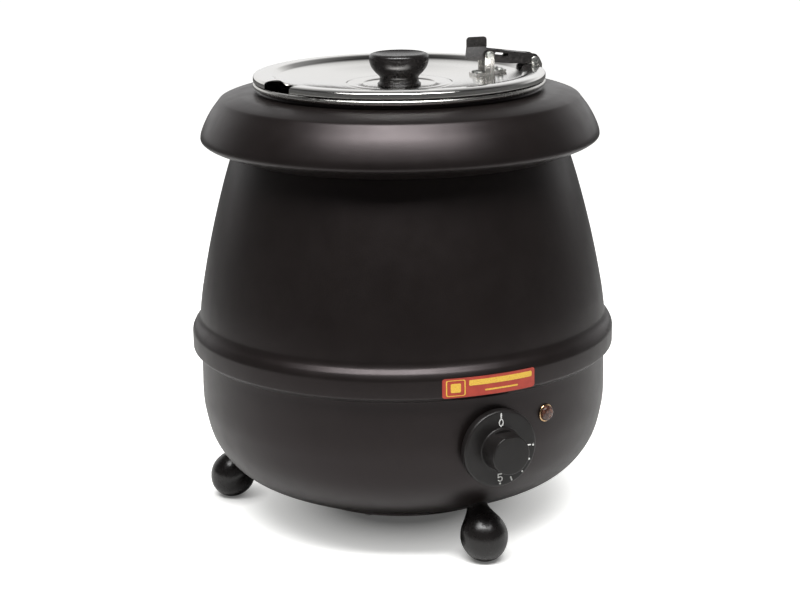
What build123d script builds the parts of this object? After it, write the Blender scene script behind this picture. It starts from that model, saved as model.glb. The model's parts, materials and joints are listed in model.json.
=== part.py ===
"""Black electric soup kettle: a painted shell on three ball feet, a lift-out steel pot with a
hinged, notched lid, and a rotary thermostat on the front.

Millimetres, +Z up, floor at Z = 0. The kettle's axis is the Z axis and the dial faces -Y.
An azimuth is counted in degrees from the front (-Y) towards +X."""
from build123d import *
import os
from math import atan2, degrees, radians, sin

# ------------------------------------------------------------------ driving sizes
WALL = 1.5                # painted sheet of the shell
BELT_R = 170.0            # widest radius, at the belt of the upper shell
BELT_LOW = 141.4          # lower edge of the belt's upright face
LIP_END = (165.4, 137.3)  # the belt turns under to here
LIP_SHIFT = 1.06          # thickness of the lip, along each axis
BELT_HIGH = 154.0         # where the belt's shoulder starts
BASE_R = 163.5            # upright part of the base shell
BASE_FLOOR = 20.0         # underside of the base shell
BASE_OPENING_R = 76.0     # service opening in the base shell
NECK_R = 111.0            # outside of the collar's neck
NECK_TOP = 347.9
COLLAR_UNDER = 342.5      # underside of the collar's top, where the gasket sits
COLLAR_R = 157.7          # widest radius of the collar
WELL_R = 117.0            # outside of the water well
WELL_FLOOR = 58.0
POT_R = 108.5             # outside of the pot
POT_FLOOR = 73.0
POT_RIM_Z = 348.0         # underside of the pot's flange
BEAD_R = 113.4            # rolled rim of the pot
BEAD_Z = 350.0
LID_R = 115.0
LID_LOW = 353.4           # lower edge of the lid's skirt
LID_HUB_Z = 346.8         # top of the lid at its middle
NOTCH_AZ = -79.0          # ladle notch
NOTCH_WIDTH = 35.0
NOTCH_DEPTH_R = 93.5      # radius of the notch's inner end
HINGE_AZ = 83.3
EAR_PIN = (73.0, 367.0)   # radius and height of the pin in the lid's ears
RIM_PIN = (112.0, 361.4)  # radius and height of the hinge pin
HINGE_GAP = 0.05          # radial clearance of the hinge pin
DIAL_Z = 98.0
DIAL_R = 29.75
DIAL_FACE = 172.6         # distance of the scale from the kettle's axis
LAMP_AZ = 16.3
LAMP_Z = 114.8
GLAND_Z = 98.0
GLAND_REACH = 189.0       # outer end of the cable gland
CORD_R = 4.0              # cord passage of the gland
CORD_STEP = 164.0         # the passage is wider than the cord from here inwards
CORD_ENTRY_R = 5.0        # that wider stretch
FOOT_AZIMUTHS = {"foot_front": 0.0, "foot_left": -120.0, "foot_right": 120.0}
FOOT_BALL_R = 18.3
FOOT_BALL_HALF = 19.8     # half length of the ball along its own axis
FOOT_GRIP_Z = 39.6        # height at which a foot meets the base shell
LABEL_AZ = (-15.0, 10.3)
LABEL_Z = (141.0, 155.8)

UP = (Align.CENTER, Align.CENTER, Align.MIN)


# ------------------------------------------------------------------ helpers
def at(radius, height):
    """Point in the XZ half plane that is turned about Z."""
    return Vector(radius, 0, height)


def curve(points, start=None, end=None):
    """Smooth edge through (radius, height) points, with end directions if they are given."""
    places = [at(*p) for p in points]
    if start is None:
        return Edge.make_spline(places)
    return Edge.make_spline(places, tangents=[at(*start), at(*end)])


def line(a, b):
    return Edge.make_line(at(*a), at(*b))


def arc(a, b, c):
    return Edge.make_three_point_arc(at(*a), at(*b), at(*c))


def turned(edges):
    """Solid of revolution of the closed section that the edges bound."""
    return revolve(Face(Wire(edges)), axis=Axis.Z)


def sheet(edge, inward, upward):
    """Turned sheet between an edge of the section and its own moved copy."""
    copy = edge.moved(Location((inward, 0, upward)))
    ends = [Edge.make_line(edge @ 0, copy @ 0), Edge.make_line(edge @ 1, copy @ 1)]
    return turned([edge, copy] + ends)


def ring(inner, outer, low, high):
    """Flat ring between two radii and two heights."""
    return turned([line((inner, low), (outer, low)), line((outer, low), (outer, high)),
                   line((outer, high), (inner, high)), line((inner, high), (inner, low))])


def tub(radius, low, high, corner):
    """Plain upright cylinder with a rounded bottom edge."""
    body = Pos(0, 0, low) * Cylinder(radius, high - low, align=UP)
    return fillet(body.edges().sort_by(Axis.Z)[0], corner)


def place(shape, azimuth):
    """Turn a shape built along +X to an azimuth."""
    return Rot(0, 0, azimuth - 90) * shape


def rod(radius, start, end, height=0.0, across=0.0):
    """Cylinder along +X between two distances from the axis."""
    return Pos(start, across, height) * Rot(0, 90, 0) * Cylinder(radius, end - start, align=UP)


def cross_pin(radius, half_length, centre):
    """Cylinder along Y through a (radius, height) centre."""
    return Pos(centre[0], 0, centre[1]) * Rot(90, 0, 0) * Cylinder(radius, 2 * half_length)


def plate(corners, near, far):
    """Flat plate with corners in the XZ plane, between two Y values."""
    face = make_face(Polyline(*[at(*c) for c in corners], close=True))
    return extrude(Pos(0, near, 0) * face, amount=far - near, dir=(0, 1, 0))


def both_sides(shape):
    return shape + mirror(shape, about=Plane.XZ)


def hex_nut(across_flats, thickness, hole):
    """Nut that stands on Z = 0, with its corners chamfered by a cone."""
    prism = extrude(RegularPolygon(across_flats / 2, 6, major_radius=False), thickness)
    crown = Cone(across_flats / 2 + thickness, across_flats / 2 - 0.2, thickness + 0.6, align=UP)
    return (prism & crown) - Cylinder(hole, 3 * thickness)


def washer(outer, hole, thickness):
    return Cylinder(outer, thickness, align=UP) - Cylinder(hole, 3 * thickness)


def pan_screw(shank, length, head, head_height):
    """Cross-slotted screw with its head above Z = 0 and its shank below."""
    dome = Cylinder(head, head_height, align=UP)
    dome = fillet(dome.edges().sort_by(Axis.Z)[-1], head_height * 0.6)
    slot = Pos(0, 0, head_height) * Box(head * 1.2, head * 0.24, head_height)
    cross = slot + Rot(0, 0, 90) * slot
    return dome - cross + Cylinder(shank, length, align=(Align.CENTER, Align.CENTER, Align.MAX))


# ------------------------------------------------------------------ housing
BOWL = curve([(87, BASE_FLOOR), (117, 32), (140.2, 45), (155.4, 65), (162.3, 90), (BASE_R, 108)],
             start=(1, 0.4), end=(0, 1))
BARREL = curve([(163.3, 168), (160.3, 190), (152.1, 230), (141.7, 270), (130.8, 305), (120.6, 339.5)])


def bowl_envelope():
    """Everything inside the base shell's outer face, used to trim what is fixed on it."""
    return turned([BOWL, line((BASE_R, 108), (0, 108)), line((0, 108), (0, BASE_FLOOR)),
                   line((0, BASE_FLOOR), (87, BASE_FLOOR))])


def base_shell():
    """Bowl whose rim flares out and lies on the inside of the belt's turned-under lip."""
    shell = sheet(line((BASE_OPENING_R, BASE_FLOOR), (87, BASE_FLOOR)), -WALL, WALL)
    shell += sheet(BOWL, -WALL, WALL)
    slope = (BELT_LOW - LIP_END[1]) / (BELT_R - LIP_END[0])
    foot_r, foot_z = LIP_END[0] - LIP_SHIFT, LIP_END[1] + LIP_SHIFT
    flange = [(r, foot_z + slope * (r - foot_r)) for r in (BASE_R - 0.3, BELT_R - WALL)]
    shell += sheet(line((BASE_R, 108), flange[0]), -WALL, WALL)
    shell += sheet(line(*flange), -LIP_SHIFT, LIP_SHIFT)
    holes = [place(rod(4.8, 150, 175, DIAL_Z), 0), place(rod(5.0, 150, 175, LAMP_Z), LAMP_AZ),
             place(rod(8.1, 150, 175, GLAND_Z), 180)]
    holes += [place(Pos(82, 0, BASE_FLOOR) * Cylinder(2.1, 12), az) for az in (45, 135, 225, 315)]
    holes += [place(foot_frame() * Cylinder(3.1, 30), az) for az in FOOT_AZIMUTHS.values()]
    return shell - holes


def upper_shell():
    belt = line((BELT_R, BELT_LOW), (BELT_R, BELT_HIGH))
    shoulder = curve([(BELT_R, BELT_HIGH), (168.2, 159.2), (164.9, 163.3), (163.3, 168)],
                     start=(0, 1), end=(-0.1, 1))
    lip = line(LIP_END, (BELT_R, BELT_LOW))
    shell = sheet(belt, -WALL, 0) + sheet(lip, -LIP_SHIFT, LIP_SHIFT)
    shell += sheet(shoulder, -WALL, 0) + sheet(BARREL, -WALL, 0)
    return shell + ring(WELL_R + 0.4, 120.4, 338.4, 339.9)


def collar():
    """Spun ring with a short upright neck, a sloping top and a lip that turns under."""
    outside = [line((NECK_R, NECK_TOP), (NECK_R, 346.4)),
               arc((NECK_R, 346.4), (111.5, 345.2), (112.7, 344.6)),
               curve([(112.7, 344.6), (126, 343.9), (133, 342.3), (139.6, 340.1)]),
               arc((139.6, 340.1), (141.3, 339.2), (142.6, 337.9)),
               curve([(142.6, 337.9), (150, 328), (155.9, 316.5), (COLLAR_R, 309.3)],
                     start=(0.75, -1), end=(0, -1)),
               curve([(COLLAR_R, 309.3), (154.2, 305.4), (147.5, 302.6), (134.4, 297.6)],
                     start=(0, -1), end=(-1, -0.4))]
    inside = [curve([(134.2, 299.2), (146.9, 304.1), (153.2, 306.8), (COLLAR_R - WALL, 309.8)]),
              curve([(COLLAR_R - WALL, 309.8), (154.4, 316.2), (148.8, 327.3), (141.5, 337.0)]),
              line((141.5, 337.0), (138.9, 338.7)),
              curve([(138.9, 338.7), (132.6, 340.8), (125.9, 342.3), (NECK_R - WALL, COLLAR_UNDER)]),
              line((NECK_R - WALL, COLLAR_UNDER), (NECK_R - WALL, NECK_TOP))]
    ends = [line((134.4, 297.6), (134.2, 299.2)), line((NECK_R - WALL, NECK_TOP), (NECK_R, NECK_TOP))]
    return turned(outside + inside + ends)


def neck_gasket():
    return ring(112.4, 121.0, 341.0, COLLAR_UNDER)


def water_well():
    well = tub(WELL_R, WELL_FLOOR, 341.0, 14) - tub(WELL_R - 1, WELL_FLOOR + 1, 350, 13)
    return well + ring(WELL_R - 0.5, 121.0, 340.0, 341.0)


def base_plate():
    """Vented cover under the service opening, with the centre hole of the tie stud."""
    cover = Pos(0, 0, 18.4) * Cylinder(88, 1.6, align=UP)
    rib = Pos(0, 0, 17.6) * (Cylinder(66, 1.0, align=UP) - Cylinder(63, 3))
    vent = extrude(SlotOverall(26, 4), 12, both=True)
    cuts = [Rot(0, 0, 30 * k) * Pos(44, 0, 19) * vent for k in range(12)]
    cuts += [place(Pos(82, 0, 19) * Cylinder(2.1, 12), az) for az in (45, 135, 225, 315)]
    return cover + rib - cuts - Pos(0, 0, 19) * Cylinder(3.2, 12)


def base_plate_screws():
    screw = Rot(180, 0, 0) * pan_screw(2.0, 8, 3.8, 2.2)
    return [place(Pos(82, 0, 18.4) * screw, az) for az in (45, 135, 225, 315)]


# ------------------------------------------------------------------ feet
def foot_frame():
    """Frame on the base shell's outer face, with +Z inward along the shell's normal."""
    low, high = 0.0, 1.0
    for _ in range(40):
        middle = (low + high) / 2
        if (BOWL @ middle).Z < FOOT_GRIP_Z:
            low = middle
        else:
            high = middle
    grip, along = BOWL @ low, BOWL % low
    return Plane(origin=grip, x_dir=along, z_dir=Vector(-along.Z, 0, along.X)).location


def foot_reach():
    """Distance from the shell to the ball's middle that puts the ball's flat on the floor."""
    frame = foot_frame()
    inward = Vector(Plane(frame).z_dir)
    lowest = ((FOOT_BALL_R * inward.X) ** 2 + (FOOT_BALL_HALF * inward.Z) ** 2) ** 0.5
    flat = 0.5
    return (frame.position.Z - (lowest - flat)) / inward.Z


def foot():
    reach = foot_reach()
    diagonal = sin(radians(45))
    tip = (1.0, -FOOT_BALL_HALF)
    bottom = curve([tip, (FOOT_BALL_R * diagonal, -FOOT_BALL_HALF * diagonal), (FOOT_BALL_R, 0)],
                   start=(1, 0), end=(0, 1))
    side = curve([(FOOT_BALL_R, 0), (16.2, 9.0), (11.2, 17.0), (8.2, 23.0)], start=(0, 1), end=(-0.2, 1))
    egg = turned([bottom, side, line((8.2, 23.0), (8.2, reach + 6)), line((8.2, reach + 6), (0, reach + 6)),
                  line((0, reach + 6), (0, tip[1])), line((0, tip[1]), tip)])
    body = foot_frame() * Pos(0, 0, -reach) * egg - bowl_envelope()
    body -= Box(600, 600, 100, align=(Align.CENTER, Align.CENTER, Align.MAX))
    return body - foot_frame() * Pos(0, 0, -12) * Cylinder(3.05, 30, align=UP)


def foot_studs():
    stud = foot_frame() * Pos(0, 0, -11.5) * Cylinder(2.95, 21.5, align=UP)
    return [place(stud, az) for az in FOOT_AZIMUTHS.values()]


def foot_washers():
    disc = foot_frame() * Pos(0, 0, 2.6) * washer(7.0, 3.1, 1.2)
    return [place(disc, az) for az in FOOT_AZIMUTHS.values()]


def foot_nuts():
    nut = foot_frame() * Pos(0, 0, 3.85) * hex_nut(10, 5, 2.95)
    return [place(nut, az) for az in FOOT_AZIMUTHS.values()]


# ------------------------------------------------------------------ heater
def spreader_plate():
    return ring(3.4, 86, 54.5, WELL_FLOOR)


def heating_element():
    """Open ring of sheathed heater with two cold ends that run outward."""
    tube = Pos(70, 0, 51.2) * Rot(90, 0, 0) * Circle(3.2)
    coil = revolve(tube, axis=Axis.Z, revolution_arc=320)
    lead = rod(3.0, 68, 98, 51.2)
    pair = [Rot(0, 0, 2.4) * lead, Rot(0, 0, 317.6) * lead]
    return Rot(0, 0, 110) * (coil + pair)


def clamp_bar():
    bar = Pos(0, 0, 45.9) * Box(160, 20, 2, align=UP)
    bar = fillet(bar.edges().filter_by(Axis.Z), 6)
    return bar - Pos(0, 0, 46) * Cylinder(3.2, 10)


def tie_stud():
    return Pos(0, 0, 9) * Cylinder(3.0, WELL_FLOOR - 9, align=UP)


def clamp_nut():
    return Pos(0, 0, 40.8) * hex_nut(10, 5, 3.0)


def base_nut():
    """Flanged nut that draws the base cover up to the well."""
    flange = Pos(0, 0, 17.1) * washer(8.5, 3.0, 1.3)
    return Pos(0, 0, 12.1) * hex_nut(10, 5, 3.0) + flange


def thermal_cutout():
    can = Pos(34, 0, 44.5) * Cylinder(8, 10, align=UP)
    ear = Pos(34, 0, 53.2) * extrude(SlotOverall(32, 7), 1.2)
    tabs = [Pos(34, dy, 38.5) * Box(0.8, 5, 6, align=UP) for dy in (-4.5, 4.5)]
    return Rot(0, 0, 75) * (can + ear + tabs)


# ------------------------------------------------------------------ thermostat and lamp
def thermostat_body():
    box = Pos(145.2, 0, DIAL_Z) * Box(24, 34, 34)
    box = fillet(box.edges().filter_by(Axis.X), 3)
    shoulder = rod(6.5, 157.2, 160.7, DIAL_Z)
    bushing = rod(4.7, 157.2, 167.6, DIAL_Z)
    blades = [Pos(133.2, dy, DIAL_Z - 8) * Box(10, 0.8, 6.3, align=(Align.MAX, Align.CENTER, Align.CENTER))
              for dy in (-10, 10)]
    return place(box + shoulder + bushing + blades - rod(3.06, 140, 170, DIAL_Z), 0)


def thermostat_nut():
    nut = Pos(163.6, 0, DIAL_Z) * Rot(0, 90, 0) * hex_nut(14, 2.2, 4.7)
    return place(nut, 0)


def thermostat_bulb():
    """Sensing bulb against the well with its capillary to the thermostat."""
    bulb = Pos(120.3, 0, 88) * Cylinder(2.6, 70, align=UP)
    bulb = fillet(bulb.edges().group_by(Axis.Z)[-1], 1.5)
    path = FilletPolyline((120.3, 0, 89), (120.3, 0, 70), (138, -14, 70), (138, -14, 81), radius=6)
    tube = sweep(Plane(origin=path @ 0, z_dir=path % 0) * Circle(0.9), path=path)
    return place(bulb + tube, 0)


def thermostat_shaft():
    return place(rod(3.0, 141, 181, DIAL_Z), 0)


def dial():
    """Skirted knob: a flat skirt that carries the scale and a grip with a flat that points up."""
    section = Face(Wire([line((0, 164.9), (28.8, 164.9)), line((28.8, 164.9), (DIAL_R, 166.4)),
                         line((DIAL_R, 166.4), (DIAL_R, 170.6)), arc((DIAL_R, 170.6), (29.2, 172.1), (27.9, DIAL_FACE)),
                         line((27.9, DIAL_FACE), (15.9, DIAL_FACE)), line((15.9, DIAL_FACE), (15.0, 188.6)),
                         arc((15.0, 188.6), (14.7, 189.3), (14.0, 189.6)), line((14.0, 189.6), (0, 189.6)),
                         line((0, 189.6), (0, 164.9))]))
    knob = revolve(section, axis=Axis.Z)
    knob -= Pos(0, 0, 160) * Cylinder(26.2, 9.6, align=UP)
    knob -= Pos(0, 0, 160) * Cylinder(3.0, 21.05, align=UP)
    grip_flat = Pos(0, 13.6, 173.2) * Box(40, 20, 40, align=(Align.CENTER, Align.MIN, Align.MIN))
    knob -= grip_flat
    return Pos(0, 0, DIAL_Z) * Rot(90, 0, 0) * knob


def dial_marks():
    """Raised scale marks: an index bar and a nought at the top, then bars and dots to the hot end."""
    bar = Box(1.0, 4.4, 0.35, align=UP)
    short_bar = Box(1.0, 3.4, 0.35, align=UP)
    dot = Cylinder(0.75, 0.35, align=UP)
    nought = extrude(Ellipse(2.0, 2.9) - Ellipse(1.25, 2.15), 0.35)
    marks = [Pos(0, 25.7, 0) * bar, Pos(0, 20.4, 0) * nought]
    for angle, piece, radius in ((91, short_bar, 23.2), (92, dot, 26.9), (116, dot, 26.2),
                                 (139, dot, 26.9), (161, short_bar, 26.0), (182, dot, 27.0)):
        marks.append(Rot(0, 0, -angle) * Pos(0, radius, 0) * piece)
    marks.append(Pos(-0.9, -23.4, 0) * numeral_five())
    return [Pos(0, 0, DIAL_Z) * Rot(90, 0, 0) * Pos(0, 0, DIAL_FACE) * mark for mark in marks]


def numeral_five():
    bowl = Circle(2.1) - Circle(1.3) - Pos(-2, 0.2) * Rectangle(2.6, 1.6)
    strokes = Pos(-0.2, 3.9) * Rectangle(3.6, 0.8) + Pos(-1.6, 2.5) * Rectangle(0.8, 3.4)
    return extrude(bowl + strokes, 0.35)


def pilot_bezel():
    lip = rod(7.0, 163.55, 164.8, LAMP_Z)
    tube = rod(4.95, 152.0, 163.6, LAMP_Z)
    return place(lip + tube - rod(4.3, 150, 170, LAMP_Z), LAMP_AZ)


def pilot_lens():
    dome = Pos(164.85, 0, 0) * Rot(0, 90, 0) * Cylinder(5.9, 3.0, align=UP)
    dome = fillet(dome.edges().sort_by(Axis.X)[-1], 2.6)
    neck = rod(4.25, 158, 164.9)
    return place(Pos(0, 0, LAMP_Z) * (dome + neck), LAMP_AZ)


def pilot_lamp():
    body = rod(4.25, 138, 157.9, LAMP_Z)
    blades = [Pos(138, dy, LAMP_Z) * Box(8, 0.8, 4, align=(Align.MAX, Align.CENTER, Align.CENTER))
              for dy in (-2.4, 2.4)]
    return place(body + blades, LAMP_AZ)


def label_plate():
    """Thin curved plate on the belt, plain but for a raised frame and two bars."""
    skin = ring(BELT_R, BELT_R + 0.35, *LABEL_Z)
    return skin & label_block(LABEL_AZ, LABEL_Z, 2.0)


def label_block(azimuths, heights, corner):
    """Block that cuts a label's outline out of a ring."""
    middle = sum(azimuths) / 2
    width = 2 * (BELT_R + 0.35) * sin(radians((azimuths[1] - azimuths[0]) / 2))
    height = heights[1] - heights[0]
    face = RectangleRounded(width, height, corner)
    block = Pos(140, 0, sum(heights) / 2) * Rot(0, 90, 0) * Rot(0, 0, 90) * extrude(face, 50)
    return place(block, middle)


def label_marks():
    """Printed frame and bars of the label, as a raised film."""
    low, high = LABEL_Z
    skin = ring(BELT_R + 0.35, BELT_R + 0.5, low, high)
    frame = label_block((-14.1, -9.1), (low + 1.3, high - 1.3), 1.6)
    inside = label_block((-13.8, -9.4), (low + 1.8, high - 1.8), 1.2)
    bars = [label_block((-8.2, 9.4), (high - 6.4, high - 2.2), 1.0),
            label_block((-4.0, 5.2), (low + 3.4, low + 4.6), 0.5)]
    core = label_block((-12.9, -10.3), (low + 4.0, high - 4.0), 1.0)
    pieces = [skin & (frame - inside), skin & core] + [skin & bar for bar in bars]
    return pieces


# ------------------------------------------------------------------ cord entry
def cord_gland():
    nut_face = Pos(163.6, 0, 0) * Rot(0, 90, 0) * hex_nut(22, 5.5, 1)
    thread = rod(8.0, 152, 166)
    dome = Pos(169.1, 0, 0) * Rot(0, 90, 0) * Cone(10.4, 7.6, GLAND_REACH - 169.1, align=UP)
    grooves = [Rot(30 * k, 0, 0) * Pos(176, 0, 10.6) * Box(11, 1.4, 2.2) for k in range(12)]
    body = nut_face + thread + (dome - grooves) - rod(CORD_R, 140, 200) - rod(CORD_ENTRY_R, 140, CORD_STEP)
    return place(Pos(0, 0, GLAND_Z) * body, 180)


def gland_nut():
    nut = Pos(154.9, 0, GLAND_Z) * Rot(0, 90, 0) * hex_nut(20, 5, 8.0)
    return place(nut, 180)


def terminal_block():
    block = Box(42, 18, 13, align=UP)
    wells = [Pos(x, y, 7) * Cylinder(2.7, 8, align=UP) for x in (-13.5, 0, 13.5) for y in (-4.5, 4.5)]
    entries = [Pos(x, 0, 4.5) * Rot(90, 0, 0) * Cylinder(2.0, 30) for x in (-13.5, 0, 13.5)]
    return Pos(0, 48, 20.0) * (block - wells - entries)


def terminal_screws():
    screw = pan_screw(1.2, 0.4, 2.3, 1.6)
    return [Pos(x, 48 + y, 27.4) * screw for x in (-13.5, 0, 13.5) for y in (-4.5, 4.5)]


# ------------------------------------------------------------------ pot
def soup_pot():
    pot = tub(POT_R, POT_FLOOR, POT_RIM_Z + 1, 15) - tub(POT_R - 1, POT_FLOOR + 1, 400, 14)
    flange = ring(POT_R - 1, BEAD_R - 1, POT_RIM_Z, POT_RIM_Z + 1)
    bead = Pos(0, 0, BEAD_Z) * Torus(BEAD_R, 2.0)
    return pot + flange + bead


def rim_clip():
    """Spring clip that hooks under the pot's bead and carries the hinge pin in two ears."""
    px, pz = RIM_PIN
    strap = plate([(116.0, 346.5), (117.2, 346.5), (117.2, 356), (116.0, 356)], -7, 7)
    hook = plate([(112.4, 346.5), (116.0, 346.5), (116.0, 347.6), (112.4, 347.6)], -7, 7)
    ear = plate([(px, pz + 2.9), (116.6, pz + 2.2), (119.4, 358), (119.4, 350), (116.0, 350),
                 (116.0, 359.3), (px, pz - 2.9)], 3.6, 4.8)
    ear += Pos(px, 4.2, pz) * Rot(90, 0, 0) * Cylinder(2.95, 1.2)
    return strap + hook + both_sides(ear) - cross_pin(1.8, 20, RIM_PIN)


def rim_pin():
    heads = [Pos(RIM_PIN[0], side * 7.2, RIM_PIN[1]) * Rot(90, 0, 0) * Cylinder(3.1, 1.4) for side in (-1, 1)]
    heads = [fillet(h.edges().filter_by(GeomType.CIRCLE).sort_by(Axis.Y)[0 if k == 0 else -1], 0.9)
             for k, h in enumerate(heads)]
    return cross_pin(1.8, 7.0, RIM_PIN) + heads


# ------------------------------------------------------------------ lid
def lid_top():
    """Edges of the lid's upper face from the skirt inward, with the shift of each one's underside."""
    return [
        (line((LID_R, LID_LOW), (LID_R, 355.5)), (-1, -1)),
        (arc((LID_R, 355.5), (114.3, 357.3), (112.4, 358.0)), (-1, -1)),
        (curve([(112.4, 358.0), (106.5, 358.5), (101.2, 357.9)]), (0, -1)),
        (curve([(101.2, 357.9), (98.7, 356.5), (96.4, 354.9)]), (0, -1)),
        (curve([(96.4, 354.9), (76, 352.1), (56, 349.9), (42, 348.8)]), (0, -1)),
        (line((42, 348.8), (40.8, 349.5)), (0, -1)),
        (line((40.8, 349.5), (29.4, 348.7)), (0, -1)),
        (line((29.4, 348.7), (28.4, 347.9)), (0, -1)),
        (curve([(28.4, 347.9), (14, 347.1), (0, LID_HUB_Z)], start=(-1, -0.07), end=(-1, 0)), (0, -1)),
    ]


def lid():
    cover = Part()
    for edge, (inward, upward) in lid_top():
        cover += sheet(edge, inward, upward)
    notch = extrude(RectangleRounded(60, NOTCH_WIDTH, 7), 40)
    cover -= place(Pos(NOTCH_DEPTH_R + 30, 0, 335) * notch, NOTCH_AZ)
    rivet_holes = [Pos(r, y, 350) * Cylinder(1.6, 30) for r, y in RIVETS]
    cover -= [place(hole, HINGE_AZ) for hole in rivet_holes]
    return cover - Pos(0, 0, 345) * Cylinder(2.1, 10)


def lid_envelope():
    """Everything below the lid's upper face out to the bracket, used to seat the bracket."""
    edges = [edge for edge, _ in lid_top()[4:]]
    return turned(edges + [line((96.4, 354.9), (96.4, 330)), line((96.4, 330), (0, 330)),
                           line((0, 330), (0, LID_HUB_Z))])


def lid_knob():
    base = LID_HUB_Z + 0.6
    section = [line((0, base), (17.2, base)), line((17.2, base), (17.2, 348.5)),
               curve([(17.2, 348.5), (15.7, 349.9), (15.3, 353.6)], start=(-1, 0.3), end=(0, 1)),
               curve([(15.3, 353.6), (19.0, 357.5), (21.7, 361.0), (23.4, 365.6), (23.6, 368.8)], start=(0.7, 1), end=(0, 1)),
               curve([(23.6, 368.8), (22.7, 371.2), (19.6, 372.3)], start=(0, 1), end=(-1, 0.1)),
               curve([(19.6, 372.3), (12.0, 370.5), (4.0, 370.0)], start=(-1, -0.35), end=(-1, 0)),
               line((4.0, 370.0), (0, 370.0)), line((0, 370.0), (0, base))]
    return turned(section) - Pos(0, 0, 344) * Cylinder(2.0, 16, align=UP)


def knob_screw():
    return Pos(0, 0, 344.7) * Rot(180, 0, 0) * pan_screw(1.95, 13, 4.2, 2.4)


def knob_washer():
    return Pos(0, 0, 344.75) * washer(6.5, 2.1, 1.0)


# ------------------------------------------------------------------ lid hinge, built along +X
RIVETS = ((65.5, 5.0), (65.5, -5.0), (82.5, 5.0), (82.5, -5.0))


def ear_bracket():
    """Bright bracket on the lid: a foot riveted down and two upright ears for the pin."""
    px, pz = EAR_PIN
    foot_plate = plate([(61.5, 352.6), (87.0, 355.6), (87.0, 350), (61.5, 346)], -8.4, 8.4)
    foot_plate -= lid_envelope()
    ear = plate([(px - 3.8, 352.5), (px + 3.8, 352.5), (px + 3.8, pz), (px - 3.8, pz)], 7.2, 8.4)
    ear += Pos(px, 7.8, pz) * Rot(90, 0, 0) * Cylinder(3.8, 1.2)
    ear -= lid_envelope()
    body = foot_plate + both_sides(ear) - cross_pin(2.0, 20, EAR_PIN)
    return body - [Pos(r, y, 350) * Cylinder(1.6, 30) for r, y in RIVETS]


def ear_rivets():
    rivets = []
    for r, y in RIVETS:
        seat = 352.6 + (r - 61.5) * 3.0 / 25.5
        head = Cylinder(2.7, 1.3, align=UP)
        head = Rot(0, -6.7, 0) * fillet(head.edges().sort_by(Axis.Z)[-1], 0.9)
        tail = Pos(0, 0, -5.4) * Cylinder(1.5, 5.9, align=UP)
        rivets.append(Pos(r, y, seat + 0.02) * (head + tail))
    return rivets


def ear_pin():
    heads = []
    for k, side in enumerate((-1, 1)):
        head = Pos(EAR_PIN[0], side * 9.1, EAR_PIN[1]) * Rot(90, 0, 0) * Cylinder(3.1, 1.3)
        heads.append(fillet(head.edges().filter_by(GeomType.CIRCLE).sort_by(Axis.Y)[0 if k == 0 else -1], 0.8))
    return cross_pin(1.95, 9.0, EAR_PIN) + heads


def hinge_arm():
    """Dark channel between the ears and the rim pin, with a bent thumb tab at its inner end."""
    (ex, ez), (rx, rz) = EAR_PIN, RIM_PIN
    side = plate([(ex, ez + 5.0), (rx + 3.4, rz + 4.6), (rx + 3.4, rz - 2.5), (100, 359.2), (90, 359.8),
                  (ex, ez - 5.0)], 5.2, 6.4)
    outer_corner = side.edges().filter_by(Axis.Y).sort_by(Axis.X)[-2:].sort_by(Axis.Z)[-1]
    side = fillet(outer_corner, 4.0)
    side += Pos(ex, 5.8, ez) * Rot(90, 0, 0) * Cylinder(5.0, 1.2)
    slope = degrees(atan2(rz + 4.6 - ez - 5.0, rx + 3.4 - ex))
    slot = Pos(84.0, 0, 367.2) * Rot(0, -slope, 0) * Rot(90, 0, 0) * extrude(SlotOverall(12, 2.6), 20, both=True)
    side -= slot
    web_line = [(88, ez + 5.0 - 15 * 0.143), (106.5, ez + 5.0 - 33.5 * 0.143)]
    (ax, az), (bx, bz) = web_line
    web = plate([(ax, az), (bx, bz), (bx, bz - 1.2), (ax, az - 1.2)], -5.3, 5.3)
    holes = [cross_pin(2.0, 20, EAR_PIN), cross_pin(1.8 + HINGE_GAP, 20, RIM_PIN)]
    return both_sides(side) + web + thumb_tab() - holes


def thumb_tab():
    """Tab that leans in from the near side plate and then stands upright with round corners."""
    lean = Polyline((0, -6.4, 366.0), (0, -0.6, 373.6), (0, 0.6, 373.6), (0, -5.2, 366.0), close=True)
    lower = extrude(Pos(53.5, 0, 0) * make_face(lean), amount=EAR_PIN[0] - 53.5, dir=(1, 0, 0))
    wedge = plate([(50, 362), (53.4, 366), (56.5, 374), (50, 374)], -10, 10)
    upper = plate([(56.5, 373.4), (73.4, 373.4), (73.4, 381.5), (56.5, 381.5)], -0.6, 0.6)
    corners = upper.edges().filter_by(Axis.Y).group_by(Axis.Z)[-1]
    upper = fillet(corners, 2.6)
    inner = EAR_PIN[0] + 0.5
    strip = plate([(53.5, 366.2), (53.5, 364.6), (inner, 363.2), (inner, 368.5), (60, 366.2)], -6.4, -5.2)
    return (lower - wedge) + upper + strip


# ------------------------------------------------------------------ write the parts
def on_hinge(shape):
    """Turn hinge pieces, built along +X, to the hinge's azimuth."""
    if isinstance(shape, list):
        return [place(s, HINGE_AZ) for s in shape]
    return place(shape, HINGE_AZ)


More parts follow.
